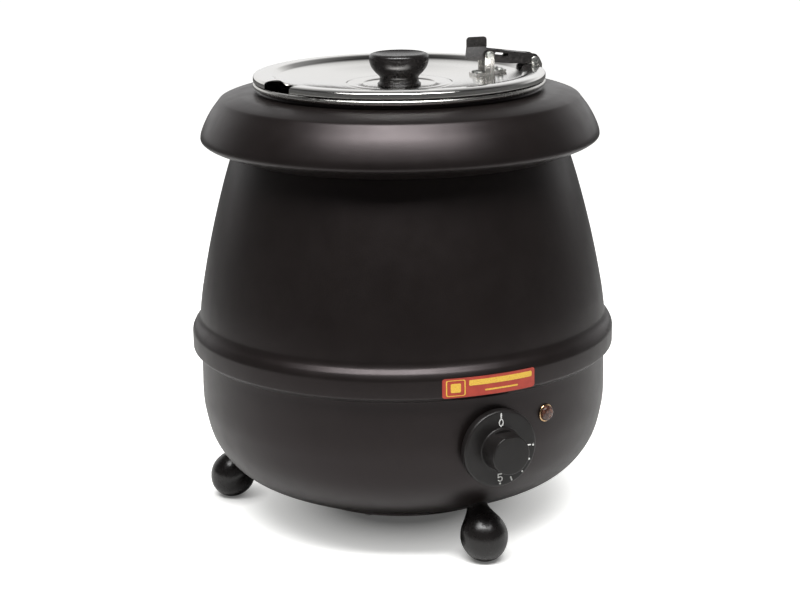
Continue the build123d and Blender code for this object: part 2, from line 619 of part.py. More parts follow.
NODES = {
    "base_shell": base_shell, "upper_shell": upper_shell, "collar": collar,
    "neck_gasket": neck_gasket, "water_well": water_well, "base_plate": base_plate,
    "base_plate_screws": base_plate_screws, "foot_studs": foot_studs, "foot_washers": foot_washers,
    "foot_nuts": foot_nuts, "spreader_plate": spreader_plate, "heating_element": heating_element,
    "clamp_bar": clamp_bar, "tie_stud": tie_stud, "clamp_nut": clamp_nut, "base_nut": base_nut,
    "thermal_cutout": thermal_cutout, "thermostat_body": thermostat_body,
    "thermostat_nut": thermostat_nut, "thermostat_bulb": thermostat_bulb,
    "thermostat_shaft": thermostat_shaft, "dial": dial, "dial_marks": dial_marks,
    "pilot_bezel": pilot_bezel, "pilot_lens": pilot_lens, "pilot_lamp": pilot_lamp,
    "label_plate": label_plate, "label_marks": label_marks, "cord_gland": cord_gland,
    "gland_nut": gland_nut, "terminal_block": terminal_block, "terminal_screws": terminal_screws,
    "soup_pot": soup_pot, "lid": lid, "lid_knob": lid_knob, "knob_screw": knob_screw,
    "knob_washer": knob_washer,
}
HINGE_NODES = {"rim_clip": rim_clip, "rim_pin": rim_pin, "ear_bracket": ear_bracket,
               "ear_rivets": ear_rivets, "ear_pin": ear_pin, "hinge_arm": hinge_arm}


def write(name, shape):
    whole = Compound(children=list(shape)) if isinstance(shape, list) else shape
    export_step(whole, f"parts/{name}.step")


os.makedirs("parts", exist_ok=True)
for name, make in NODES.items():
    write(name, make())
for name, make in HINGE_NODES.items():
    write(name, on_hinge(make()))
for name, azimuth in FOOT_AZIMUTHS.items():
    write(name, place(foot(), azimuth))
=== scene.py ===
"""Looks of the soup kettle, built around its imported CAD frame. Metres, +Z up, the dial faces -Y."""
import json
from math import cos, pi, radians, sin

import bmesh
import bpy
from mathutils import Matrix, Vector


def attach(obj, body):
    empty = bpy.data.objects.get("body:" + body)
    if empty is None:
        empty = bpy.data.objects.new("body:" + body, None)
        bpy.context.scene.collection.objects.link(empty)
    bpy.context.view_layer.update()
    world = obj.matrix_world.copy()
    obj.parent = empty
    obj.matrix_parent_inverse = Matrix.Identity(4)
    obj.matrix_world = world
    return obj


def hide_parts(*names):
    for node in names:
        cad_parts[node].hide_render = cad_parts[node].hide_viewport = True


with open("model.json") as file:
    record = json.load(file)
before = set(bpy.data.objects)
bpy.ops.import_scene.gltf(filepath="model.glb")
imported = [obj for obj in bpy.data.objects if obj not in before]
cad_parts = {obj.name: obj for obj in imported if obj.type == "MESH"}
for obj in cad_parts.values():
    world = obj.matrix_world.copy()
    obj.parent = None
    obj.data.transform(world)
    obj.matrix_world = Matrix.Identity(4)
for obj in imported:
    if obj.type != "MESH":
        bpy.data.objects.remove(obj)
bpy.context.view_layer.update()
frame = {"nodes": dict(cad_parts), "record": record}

MM = 0.001
TURN_STEPS = 256          # facets round a large turned piece
CREASE = radians(34)      # turned and cut pieces shade sharp above this angle
HOLE_STEPS = 32           # facets round a drilled hole
WALL = 1.5                # painted sheet
DIAL_HEIGHT = 98
LAMP_AZIMUTH = 16.3
LAMP_HEIGHT = 114.8
FOOT_AZIMUTHS = {"foot_front": 0, "foot_left": -120, "foot_right": 120}
FOOT_CIRCLE = 146.5       # the feet's middles from the kettle's axis
NOTCH_AZIMUTH = -79.0     # ladle notch in the lid


# ------------------------------------------------------------------ outlines
def hermite(p0, p1, m0, m1, t):
    a, b = 2 * t ** 3 - 3 * t ** 2 + 1, t ** 3 - 2 * t ** 2 + t
    c, d = -2 * t ** 3 + 3 * t ** 2, t ** 3 - t ** 2
    return (a * p0[0] + b * m0[0] + c * p1[0] + d * m1[0], a * p0[1] + b * m0[1] + c * p1[1] + d * m1[1])


def smooth(points, start=None, end=None, steps=10):
    """Smooth open outline through (radius, height) points in mm, with end directions if given."""
    last = len(points) - 1
    tangents = []
    for i, p in enumerate(points):
        before, after = points[max(i - 1, 0)], points[min(i + 1, last)]
        tangents.append((after[0] - before[0], after[1] - before[1]))
    for i, direction in ((0, start), (last, end)):
        if direction:
            tangents[i] = direction
    out = []
    for i in range(last):
        p0, p1 = points[i], points[i + 1]
        length = ((p1[0] - p0[0]) ** 2 + (p1[1] - p0[1]) ** 2) ** 0.5
        scaled = []
        for m in (tangents[i], tangents[i + 1]):
            size = (m[0] ** 2 + m[1] ** 2) ** 0.5 or 1
            scaled.append((m[0] / size * length, m[1] / size * length))
        out += [hermite(p0, p1, scaled[0], scaled[1], k / steps) for k in range(steps)]
    return out + [points[-1]]


def rounded(points, radius, steps=4):
    """Closed or open outline with every inner corner of the list rounded by a short arc."""
    out = [points[0]]
    for before, p, after in zip(points, points[1:], points[2:]):
        u, v = Vector(before) - Vector(p), Vector(after) - Vector(p)
        r = min(radius, u.length * 0.45, v.length * 0.45)
        a, b = Vector(p) + u.normalized() * r, Vector(p) + v.normalized() * r
        for k in range(steps + 1):
            t = k / steps
            q = (1 - t) ** 2 * a + 2 * t * (1 - t) * Vector(p) + t ** 2 * b
            out.append((q.x, q.y))
    return out + [points[-1]]


def arc(centre, radius, start, end, steps=10):
    """Points on an arc, angles in degrees from the outward direction towards up."""
    angles = [radians(start + (end - start) * k / steps) for k in range(steps + 1)]
    return [(centre[0] + radius * cos(a), centre[1] + radius * sin(a)) for a in angles]


# ------------------------------------------------------------------ meshes
def link(name, mesh, node, material=None, replaces=True):
    """Puts a finished mesh in the scene as one piece that stands for a CAD node, or as a part of one."""
    piece = bpy.data.objects.new(name, mesh)
    bpy.context.scene.collection.objects.link(piece)
    mesh.materials.clear()
    mesh.materials.append(material or SLOT_MATERIAL[SLOT_OF[node]])
    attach(piece, BODY_OF[node])
    if replaces:
        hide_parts(node)
    return piece


def turn(outline, steps=TURN_STEPS, closed=True, place=None):
    """Mesh turned about +Z from (radius, height) points in mm; a closed outline gives a solid."""
    bm = bmesh.new()
    rings = []
    for r, z in outline:
        if r < 1e-6:
            rings.append([bm.verts.new((0, 0, z * MM))])
        else:
            angles = [2 * pi * k / steps for k in range(steps)]
            rings.append([bm.verts.new((r * cos(a) * MM, r * sin(a) * MM, z * MM)) for a in angles])
    pairs = list(zip(rings, rings[1:]))
    if closed and len(rings[0]) > 1 and len(rings[-1]) > 1:
        pairs.append((rings[-1], rings[0]))
    for low, high in pairs:
        for k in range(steps):
            n = (k + 1) % steps
            if len(low) == 1 and len(high) == 1:
                continue
            if len(low) == 1:
                bm.faces.new((low[0], high[n], high[k]))
            elif len(high) == 1:
                bm.faces.new((low[k], low[n], high[0]))
            else:
                bm.faces.new((low[k], low[n], high[n], high[k]))
    bmesh.ops.recalc_face_normals(bm, faces=bm.faces)
    if place is not None:
        bmesh.ops.transform(bm, matrix=place, verts=bm.verts)
    mesh = bpy.data.meshes.new("turned")
    bm.to_mesh(mesh)
    bm.free()
    mesh.shade_smooth()
    mesh.set_sharp_from_angle(angle=CREASE)
    return mesh


def softened(node, width, angle=30):
    """A new piece from a CAD node's shape, with its edges rounded as pressed or moulded ones are."""
    source = frame["nodes"][node]
    bm = bmesh.new()
    bm.from_mesh(source.data)
    bmesh.ops.remove_doubles(bm, verts=bm.verts, dist=2e-6)
    bmesh.ops.dissolve_limit(bm, angle_limit=radians(1.0), verts=bm.verts, edges=bm.edges)
    mesh = bpy.data.meshes.new(node + "_look")
    bm.to_mesh(mesh)
    bm.free()
    mesh.shade_smooth()
    mesh.set_sharp_from_angle(angle=radians(angle))
    bevel(link(node + "_look", mesh, node), "edges", width, angle)


def bevel(piece, name, width, angle, segments=2):
    """Rounds a piece's edges, width in mm."""
    modifier = piece.modifiers.new(name, "BEVEL")
    modifier.width = width * MM
    modifier.segments = segments
    modifier.limit_method = "ANGLE"
    modifier.angle_limit = radians(angle)


def turned_piece(node, outline, steps=TURN_STEPS, closed=True, place=None):
    return link(node + "_look", turn(outline, steps, closed, place), node)


def sliced(mesh, point, direction, place=Matrix.Identity(4)):
    """Cuts off what lies beyond a plane, closes the cut and places what is left."""
    bm = bmesh.new()
    bm.from_mesh(mesh)
    everything = bm.verts[:] + bm.edges[:] + bm.faces[:]
    made = bmesh.ops.bisect_plane(bm, geom=everything, plane_co=point, plane_no=direction, clear_outer=True)
    rim = [edge for edge in made["geom_cut"] if isinstance(edge, bmesh.types.BMEdge)]
    bmesh.ops.holes_fill(bm, edges=rim, sides=0)
    bmesh.ops.transform(bm, matrix=place, verts=bm.verts)
    bm.to_mesh(mesh)
    bm.free()


def cut(piece, meshes):
    """Cuts closed meshes out of a piece and keeps the result as its mesh."""
    blocks = [bpy.data.objects.new("cutter", mesh) for mesh in meshes]
    for block in blocks:
        bpy.context.scene.collection.objects.link(block)
        modifier = piece.modifiers.new("cut", "BOOLEAN")
        modifier.operation = "DIFFERENCE"
        modifier.solver = "EXACT"
        modifier.object = block
    graph = bpy.context.evaluated_depsgraph_get()
    result = bpy.data.meshes.new_from_object(piece.evaluated_get(graph))
    piece.modifiers.clear()
    piece.data = result
    for block in blocks:
        bpy.data.objects.remove(block)
    result.set_sharp_from_angle(angle=CREASE)


def prism(outline, low, high, place=Matrix.Identity(4)):
    """Closed mesh of an (x, y) outline in mm between two heights, then placed."""
    bm = bmesh.new()
    bottom = [bm.verts.new((x * MM, y * MM, low * MM)) for x, y in outline]
    top = [bm.verts.new((x * MM, y * MM, high * MM)) for x, y in outline]
    bm.faces.new(bottom)
    bm.faces.new(top)
    for k in range(len(outline)):
        n = (k + 1) % len(outline)
        bm.faces.new((bottom[k], bottom[n], top[n], top[k]))
    bmesh.ops.recalc_face_normals(bm, faces=bm.faces)
    bmesh.ops.transform(bm, matrix=place, verts=bm.verts)
    mesh = bpy.data.meshes.new("prism")
    bm.to_mesh(mesh)
    bm.free()
    return mesh


def azimuth(angle):
    """Turns what is built along +X to an azimuth from the front."""
    return Matrix.Rotation(radians(angle - 90), 4, "Z")


# ------------------------------------------------------------------ materials
class Shader:
    """A node material with short calls for the nodes that most finishes share."""

    def __init__(self, name, **values):
        self.material = bpy.data.materials.new(name)
        self.material.use_nodes = True
        self.tree = self.material.node_tree
        self.surface = self.tree.nodes["Principled BSDF"]
        self.place = self.add("ShaderNodeTexCoord").outputs["Object"]
        for socket, value in values.items():
            self.surface.inputs[socket.replace("_", " ")].default_value = value

    def add(self, kind, **settings):
        node = self.tree.nodes.new(kind)
        for key, value in settings.items():
            setattr(node, key, value)
        return node

    def join(self, output, socket):
        self.tree.links.new(output, socket)

    def noise(self, scale, detail=3.0, roughness=0.5, stretch=None, distortion=0.0):
        node = self.add("ShaderNodeTexNoise")
        node.inputs["Scale"].default_value = scale
        node.inputs["Detail"].default_value = detail
        node.inputs["Roughness"].default_value = roughness
        node.inputs["Distortion"].default_value = distortion
        source = self.place
        if stretch:
            mapping = self.add("ShaderNodeMapping")
            mapping.inputs["Scale"].default_value = stretch
            self.join(self.place, mapping.inputs["Vector"])
            source = mapping.outputs["Vector"]
        self.join(source, node.inputs["Vector"])
        return node.outputs["Fac"]

    def span(self, value, low, high, from_low=0.3, from_high=0.7):
        """Spreads a 0 to 1 pattern over a range."""
        node = self.add("ShaderNodeMapRange")
        for socket, number in zip(("From Min", "From Max", "To Min", "To Max"),
                                  (from_low, from_high, low, high)):
            node.inputs[socket].default_value = number
        self.join(value, node.inputs["Value"])
        return node.outputs["Result"]

    def blend(self, value, first, second, from_low=0.3, from_high=0.7):
        """Colour that runs from first to second with a pattern."""
        ramp = self.add("ShaderNodeValToRGB")
        ramp.color_ramp.elements[0].position = from_low
        ramp.color_ramp.elements[0].color = (*first, 1)
        ramp.color_ramp.elements[1].position = from_high
        ramp.color_ramp.elements[1].color = (*second, 1)
        self.join(value, ramp.inputs["Fac"])
        return ramp.outputs["Color"]

    def colour(self, output):
        self.join(output, self.surface.inputs["Base Color"])
        return self

    def roughness(self, output):
        self.join(output, self.surface.inputs["Roughness"])
        return self

    def bump(self, output, depth, strength=1.0, after=None):
        """Relief of a pattern, depth in metres."""
        node = self.add("ShaderNodeBump")
        node.inputs["Distance"].default_value = depth
        node.inputs["Strength"].default_value = strength
        self.join(output, node.inputs["Height"])
        if after is not None:
            self.join(after, node.inputs["Normal"])
        self.join(node.outputs["Normal"], self.surface.inputs["Normal"])
        return node.outputs["Normal"]

    def ring_distance(self, centre=(0.0, 0.0)):
        """Distance from an upright axis, for marks that run round it."""
        split = self.add("ShaderNodeSeparateXYZ")
        self.join(self.place, split.inputs["Vector"])
        flat = self.add("ShaderNodeCombineXYZ")
        for axis, offset in zip("XY", centre):
            shift = self.add("ShaderNodeMath", operation="SUBTRACT")
            shift.inputs[1].default_value = offset
            self.join(split.outputs[axis], shift.inputs[0])
            self.join(shift.outputs[0], flat.inputs[axis])
        length = self.add("ShaderNodeVectorMath", operation="LENGTH")
        self.join(flat.outputs["Vector"], length.inputs[0])
        return length.outputs["Value"]

    def ring_lines(self, scale, detail=2.0):
        """Fine lines round the upright axis, as polishing leaves them."""
        node = self.add("ShaderNodeTexNoise", noise_dimensions="1D")
        node.inputs["Scale"].default_value = 1.0
        node.inputs["Detail"].default_value = detail
        scaled = self.add("ShaderNodeMath", operation="MULTIPLY")
        scaled.inputs[1].default_value = scale
        self.join(self.ring_distance(), scaled.inputs[0])
        self.join(scaled.outputs[0], node.inputs["W"])
        return node.outputs["Fac"]


def shell_paint():
    """Semi-gloss black powder coat: fine grain, a soft orange peel and a faint warm mottling."""
    s = Shader("shell_paint", Specular_IOR_Level=0.36, Specular_Tint=(1.0, 0.88, 0.90, 1.0))
    s.colour(s.blend(s.noise(22, 4), (0.0062, 0.0048, 0.0045), (0.0084, 0.0066, 0.0062)))
    s.roughness(s.span(s.noise(60, 5), 0.32, 0.38))
    grain = s.bump(s.noise(1300, 2), 0.00012, 0.45)
    s.bump(s.noise(190, 2), 0.00022, 0.10, after=grain)
    return s.material


def mirror_steel():
    """Mirror-polished stainless steel with faint polishing rings and wiped-on haze."""
    s = Shader("mirror_steel", Metallic=1.0)
    s.colour(s.blend(s.noise(9, 3), (0.70, 0.685, 0.66), (0.77, 0.76, 0.74)))
    s.roughness(s.span(s.noise(16, 6, 0.6), 0.07, 0.14))
    rings = s.bump(s.ring_lines(2600), 0.000012, 0.25)
    s.bump(s.noise(30, 2), 0.0006, 0.05, after=rings)
    return s.material


def bright_steel():
    """Polished stainless sheet with short rolling lines."""
    s = Shader("bright_steel", Metallic=1.0)
    s.colour(s.blend(s.noise(40, 3), (0.58, 0.57, 0.54), (0.68, 0.67, 0.65)))
    s.roughness(s.span(s.noise(240, 4, stretch=(1, 1, 0.08)), 0.16, 0.30))
    s.bump(s.noise(900, 2, stretch=(1, 1, 0.04)), 0.00003, 0.3)
    return s.material


def satin_steel():
    """Satin stainless steel of the well, brushed round."""
    s = Shader("satin_steel", Metallic=1.0)
    s.colour(s.blend(s.noise(14, 4), (0.42, 0.41, 0.40), (0.52, 0.51, 0.50)))
    s.roughness(s.span(s.noise(500, 3, stretch=(0.06, 0.06, 1)), 0.28, 0.42))
    s.bump(s.noise(1200, 2, stretch=(0.03, 0.03, 1)), 0.00004, 0.4)
    return s.material


def zinc_steel():
    """Zinc-plated fasteners with a slightly cloudy passivation."""
    s = Shader("zinc_steel", Metallic=1.0)
    s.colour(s.blend(s.noise(300, 3), (0.40, 0.41, 0.40), (0.60, 0.60, 0.57)))
    s.roughness(s.span(s.noise(700, 3), 0.24, 0.42))
    s.bump(s.noise(1600, 2), 0.00002, 0.4)
    return s.material


def heater_steel():
    """Heater sheath with the brown and blue tints that heat leaves."""
    s = Shader("heater_steel", Metallic=1.0)
    s.colour(s.blend(s.noise(60, 4), (0.16, 0.10, 0.07), (0.20, 0.20, 0.26)))
    s.roughness(s.span(s.noise(400, 3), 0.35, 0.5))
    s.bump(s.noise(1400, 2), 0.00004, 0.4)
    return s.material


def cast_aluminium():
    """Cast aluminium with a sandy skin."""
    s = Shader("cast_aluminium", Metallic=1.0)
    s.colour(s.blend(s.noise(70, 4), (0.50, 0.50, 0.51), (0.66, 0.66, 0.67)))
    s.roughness(s.span(s.noise(300, 3), 0.36, 0.5))
    s.bump(s.noise(1100, 3), 0.00010, 0.5)
    return s.material


def copper_tube():
    """Drawn copper with dull patches."""
    s = Shader("copper_tube", Metallic=1.0)
    s.colour(s.blend(s.noise(120, 4), (0.50, 0.24, 0.13), (0.80, 0.44, 0.28)))
    s.roughness(s.span(s.noise(240, 3), 0.25, 0.45))
    s.bump(s.noise(1400, 2), 0.00003, 0.4)
    return s.material


def bakelite():
    """Glossy black phenolic with faint flow marks."""
    s = Shader("bakelite", Specular_IOR_Level=0.45)
    s.colour(s.blend(s.noise(45, 5, distortion=1.5), (0.0068, 0.0058, 0.0055), (0.0105, 0.0090, 0.0088)))
    s.roughness(s.span(s.noise(130, 5), 0.22, 0.31))
    fine = s.bump(s.noise(1300, 2), 0.00002, 0.3)
    s.bump(s.noise(85, 2), 0.0002, 0.05, after=fine)
    return s.material


def dial_plastic():
    """Moulded black dial, a little duller than the feet and the knob."""
    s = Shader("dial_plastic", Specular_IOR_Level=0.36)
    s.colour(s.blend(s.noise(70, 5), (0.0085, 0.0075, 0.0072), (0.0128, 0.0112, 0.0110)))
    s.roughness(s.span(s.noise(160, 5), 0.34, 0.44))
    s.bump(s.noise(1500, 2), 0.00006, 0.35)
    return s.material


def arm_paint():
    """Black finished steel, worn to metal in small patches spread at random."""
    s = Shader("arm_paint", Specular_IOR_Level=0.45)
    wear = s.noise(420, 5, 0.6)
    s.colour(s.blend(wear, (0.0135, 0.0122, 0.0120), (0.05, 0.046, 0.044), 0.50, 0.80))
    s.roughness(s.span(s.noise(260, 4), 0.26, 0.42))
    s.bump(s.noise(900, 3), 0.00005, 0.4)
    return s.material


def white_print():
    """Screen-printed white with thin spots."""
    s = Shader("white_print", Specular_IOR_Level=0.3)
    s.colour(s.blend(s.noise(1800, 3), (0.62, 0.62, 0.60), (0.86, 0.86, 0.84)))
    s.roughness(s.span(s.noise(900, 2), 0.45, 0.6))
    s.bump(s.noise(2200, 2), 0.00003, 0.4)
    return s.material


def white_ceramic():
    """Unglazed steatite with fine speckles."""
    s = Shader("white_ceramic", Specular_IOR_Level=0.35)
    s.colour(s.blend(s.noise(500, 4), (0.58, 0.54, 0.46), (0.78, 0.76, 0.70)))
    s.roughness(s.span(s.noise(240, 3), 0.5, 0.7))
    s.bump(s.noise(1300, 3), 0.00008, 0.5)
    return s.material


def gilt_bezel():
    """Gilt plating, brownish where it is thin."""
    s = Shader("gilt_bezel", Metallic=1.0)
    s.colour(s.blend(s.noise(700, 3), (0.42, 0.25, 0.13), (0.78, 0.56, 0.34)))
    s.roughness(s.span(s.noise(900, 3), 0.12, 0.28))
    s.bump(s.noise(1500, 2), 0.00002, 0.3)
    return s.material


def amber_lens():
    """Amber moulded lens with small facets under a smooth face."""
    s = Shader("amber_lens", Transmission_Weight=0.35, IOR=1.5, Specular_IOR_Level=0.7)
    cells = s.add("ShaderNodeTexVoronoi", feature="F1")
    cells.inputs["Scale"].default_value = 420
    s.join(s.place, cells.inputs["Vector"])
    s.colour(s.blend(cells.outputs["Distance"], (0.30, 0.125, 0.075), (0.085, 0.036, 0.026), 0.05, 0.6))
    s.roughness(s.span(s.noise(500, 2), 0.12, 0.24))
    s.bump(cells.outputs["Distance"], 0.0006, 0.5)
    return s.material


def lamp_plastic():
    """Natural moulded polyamide."""
    s = Shader("lamp_plastic", Specular_IOR_Level=0.4)
    s.colour(s.blend(s.noise(90, 4), (0.52, 0.49, 0.42), (0.66, 0.64, 0.57)))
    s.roughness(s.span(s.noise(300, 3), 0.38, 0.52))
    s.bump(s.noise(1200, 2), 0.00004, 0.4)
    return s.material


def gland_plastic():
    """Black moulded polyamide with a fine spark-eroded grain."""
    s = Shader("gland_plastic", Specular_IOR_Level=0.4)
    s.colour(s.blend(s.noise(90, 4), (0.012, 0.012, 0.012), (0.022, 0.022, 0.022)))
    s.roughness(s.span(s.noise(300, 3), 0.42, 0.58))
    s.bump(s.noise(1400, 2), 0.00006, 0.5)
    return s.material


def gasket_rubber():
    """Matt black rubber with dust in its pores."""
    s = Shader("gasket_rubber", Specular_IOR_Level=0.25)
    s.colour(s.blend(s.noise(200, 5), (0.015, 0.015, 0.015), (0.04, 0.04, 0.038)))
    s.roughness(s.span(s.noise(300, 3), 0.7, 0.9))
    s.bump(s.noise(1200, 3), 0.00008, 0.6)
    return s.material


def label_red():
    """Red printed film, a little faded and scuffed."""
    s = Shader("label_red", Specular_IOR_Level=0.35, Coat_Weight=0.3, Coat_Roughness=0.25)
    s.colour(s.blend(s.noise(160, 5), (0.36, 0.036, 0.022), (0.44, 0.052, 0.030)))
    s.roughness(s.span(s.noise(500, 3), 0.32, 0.46))
    s.bump(s.noise(900, 2), 0.00003, 0.3)
    return s.material


def label_yellow():
    """Yellow print with thin spots where the red shows."""
    s = Shader("label_yellow", Specular_IOR_Level=0.35)
    s.colour(s.blend(s.noise(1500, 4), (0.62, 0.30, 0.04), (0.80, 0.52, 0.075), 0.25, 0.55))
    s.roughness(s.span(s.noise(700, 3), 0.35, 0.5))
    s.bump(s.noise(1600, 2), 0.00003, 0.3)
    return s.material


SLOT_OF = {part["node"]: part["material_slot"] for part in frame["record"]["subparts"]}
BODY_OF = {node: body for body, nodes in frame["record"]["behaviour"]["bodies"].items() for node in nodes}
SLOT_MATERIAL = {make.__name__: make() for make in (
    shell_paint, mirror_steel, bright_steel, satin_steel, zinc_steel, heater_steel, cast_aluminium,
    copper_tube, bakelite, arm_paint, white_print, white_ceramic, gilt_bezel, amber_lens, lamp_plastic,
    gland_plastic, gasket_rubber, label_red, label_yellow)}
for node, obj in frame["nodes"].items():
    obj.data.materials.clear()
    obj.data.materials.append(SLOT_MATERIAL[SLOT_OF[node]])
    obj.data.shade_smooth()
    obj.data.set_sharp_from_angle(angle=radians(30))


# ------------------------------------------------------------------ shell
BOWL = smooth([(87, 20), (117, 32), (140.2, 45), (155.4, 65), (162.3, 90), (163.5, 108)],
              start=(1, 0.4), end=(0, 1), steps=9)


def moved(points, outward, upward):
    return [(r + outward, z + upward) for r, z in points]


def build_base_shell():
    outside = [(76, 20)] + BOWL + rounded([(163.3, 130), (163.2, 137.4), (168.4, 142.0)], 1.2)
    inside = [(75.5, 21.5), (86.5, 21.5)] + moved(BOWL[1:], -WALL, WALL) + [(161.8, 138.2), (167.4, 143.1)]
    shell = turned_piece("base_shell", outside + inside[::-1])
    holes = [(0, DIAL_HEIGHT, 4.8), (LAMP_AZIMUTH, LAMP_HEIGHT, 5.0), (180, 98, 8.1)]    # the last takes the gland
    tools = []
    for angle, height, radius in holes:
        angles = [2 * pi * k / HOLE_STEPS for k in range(HOLE_STEPS)]
        disc = [(radius * cos(a), radius * sin(a)) for a in angles]
        place = azimuth(angle) @ Matrix.Translation((0, 0, height * MM)) @ Matrix.Rotation(pi / 2, 4, "Y")
        tools.append(prism(disc, 150, 175, place))
    cut(shell, tools)


def build_upper_shell():
    turned_under = [(168.5, 145), (168.5, 142.1), (164.4, 138.4), (164.45, 137.7), (165.2, 137.35),
                    (165.6, 137.5)]
    belt = turned_under + rounded([(165.6, 137.5), (169.95, 141.4), (169.95, 148)], 1.2) + [(169.95, 154)]
    shoulder = smooth([(169.95, 154), (168.2, 159.2), (164.9, 163.3), (163.3, 168)],
                      start=(0, 1), end=(-0.1, 1), steps=8)
    barrel = smooth([(163.3, 168), (160.3, 190), (152.1, 230), (141.7, 270), (130.8, 305), (120.6, 339.5)],
                    start=(-0.1, 1), steps=9)
    outside = belt + shoulder[1:] + barrel[1:]
    top = [(120.4, 339.9), (117.4, 339.9), (117.4, 338.4), (119.4, 338.4)]
    inside = [(r - WALL, z) for r, z in barrel[:-2][::-1]] + [(r - WALL, z) for r, z in shoulder[::-1]]
    turned_piece("upper_shell", outside + top + inside + [(168.5, 150)])


def build_collar():
    neck = [(111, 347.6), (111, 346.4)] + smooth([(111, 346.4), (111.5, 345.2), (112.7, 344.6)],
                                                 start=(0, -1), end=(1, -0.1), steps=4)[1:]
    top = smooth([(112.7, 344.6), (126, 343.9), (133, 342.3), (139.6, 340.1)],
                 start=(1, -0.02), end=(1, -0.42), steps=8)
    crease = smooth([(139.6, 340.1), (141.4, 339.2), (142.7, 337.8)], start=(1, -0.42), end=(0.75, -1), steps=5)
    side = smooth([(142.7, 337.8), (150, 328), (155.9, 316.5), (157.7, 309.3)],
                  start=(0.75, -1), end=(0, -1), steps=10)
    lip = smooth([(157.7, 309.3), (154.2, 305.4), (147.5, 302.6), (134.4, 297.6)],
                 start=(0, -1), end=(-1, -0.4), steps=8)
    inside = [(134.2, 299.2), (146.9, 304.1), (153.2, 306.8), (156.2, 309.8), (154.4, 316.2), (148.8, 327.3),
              (141.5, 337.0), (138.9, 338.7), (132.6, 340.8), (125.9, 342.3), (109.5, 342.5), (109.5, 347.6),
              (109.8, 347.9), (110.7, 347.9)]
    turned_piece("collar", neck + top[1:] + crease[1:] + side[1:] + lip[1:] + inside)


def build_well():
    corner = arc((103, 72), 14, 0, -90, 8)
    inner = arc((103, 72), 13, -90, 0, 8)
    outline = ([(0, 58)] + corner[::-1] + [(117, 340.0), (120.8, 340.0), (121, 340.3), (121, 340.7), (120.7, 341)]
               + [(117, 341), (116, 340.2)] + inner[::-1] + [(0, 59)])
    turned_piece("water_well", outline, closed=False)


# ------------------------------------------------------------------ pot and lid
def build_pot():
    corner = arc((93.5, 88), 15, -90, 0, 10)
    inner = arc((93.5, 88), 14, 0, -90, 10)
    bead = arc((113.4, 350), 2.0, -100, 190, 26)
    outline = ([(0, 73)] + corner + [(108.5, 346.5), (108.8, 347.6), (109.6, 348.0)] + bead
               + [(110.2, 349.0), (108.6, 348.9), (107.7, 348.2), (107.5, 347)] + inner + [(0, 74)])
    turned_piece("soup_pot", outline, closed=False)


def lid_upper():
    """Upper outline of the lid from its middle out to the skirt."""
    dish = smooth([(0.0, 346.8), (14, 347.1), (28.2, 347.9)], start=(1, 0), end=(1, 0.07), steps=6)
    step_up = smooth([(28.2, 347.9), (28.9, 348.3), (29.8, 348.75)], start=(1, 0.07), end=(1, 0.07), steps=4)
    flat = [(35, 349.12)]
    step_down = smooth([(40.3, 349.5), (41.4, 349.2), (42.6, 348.85)], start=(1, 0.05), end=(1, 0.1), steps=4)
    cone = smooth([(42.6, 348.85), (56, 349.9), (76, 352.1), (96.0, 354.8)], start=(1, 0.08), end=(1, 0.2), steps=8)
    rise = smooth([(96.0, 354.8), (98.6, 356.4), (101.2, 357.9)], start=(1, 0.25), end=(1, 0.3), steps=7)
    band = smooth([(101.2, 357.9), (106.5, 358.5), (112.2, 358.05)], start=(1, 0.3), end=(1, -0.25), steps=6)
    edge = smooth([(112.2, 358.05), (114.4, 357.1), (115, 355.2)], start=(1, -0.2), end=(0, -1), steps=6)
    path = []
    for part in (dish, step_up, flat, step_down, cone, rise, band, edge):
        path += part if not path or part[0] != path[-1] else part[1:]
    return path


def notch_outline():
    """U-shaped ladle notch, built along +X, open beyond the skirt."""
    half, inner, corner = 17.5, 93.5, 7.0
    points = [(125, -half)]
    points += arc((inner + corner, -half + corner), corner, 270, 180, 8)
    points += arc((inner + corner, half - corner), corner, 180, 90, 8)
    return points + [(125, half)]


def build_lid():
    top = lid_upper()
    under = [(r, z - 1.0) for r, z in top if r < 112] + [(113.2, 356.4), (114, 355.0), (114, 352.9), (114.3, 352.45)]
    skirt = [(115, 353.4), (114.8, 352.75)]
    outline = top + [(115, 353.6)] + skirt + under[::-1]
    cover = turned_piece("lid", outline, steps=288, closed=False)
    cut(cover, [prism(notch_outline(), 335, 375, azimuth(NOTCH_AZIMUTH))])
    bevel(cover, "notch_edge", 0.3, 50)


def build_knob():
    foot = rounded([(16.2, 347.4), (17.2, 347.4), (17.2, 348.5), (15.6, 349.8), (15.2, 353.2)], 0.5)
    bulge = smooth([(15.5, 353.8), (19.0, 357.5), (21.7, 361.0), (23.4, 365.6), (23.6, 368.8)],
                   start=(0.6, 1), end=(0, 1), steps=8)
    crown = smooth([(23.6, 368.8), (22.7, 371.2), (20.1, 372.25)], start=(0, 1), end=(-1, 0.15), steps=7)
    dish = smooth([(19.6, 372.3), (18.4, 371.7), (12.0, 370.5), (0.0, 370.0)], start=(-1, -0.1), end=(-1, 0), steps=6)
    outline = [(0, 347.4)] + foot + bulge + crown[1:] + dish
    turned_piece("lid_knob", outline, steps=128, closed=False)


# ------------------------------------------------------------------ feet
FOOT_GRIP = Vector((132.435, 0, 39.6)) * MM
FOOT_TILT = 30.82         # of the foot's own axis from upright
FOOT_REACH = 24.08        # from the shell to the ball's middle
ABOVE_FLOOR = 1e-6        # the pad stays this far inside the CAD box


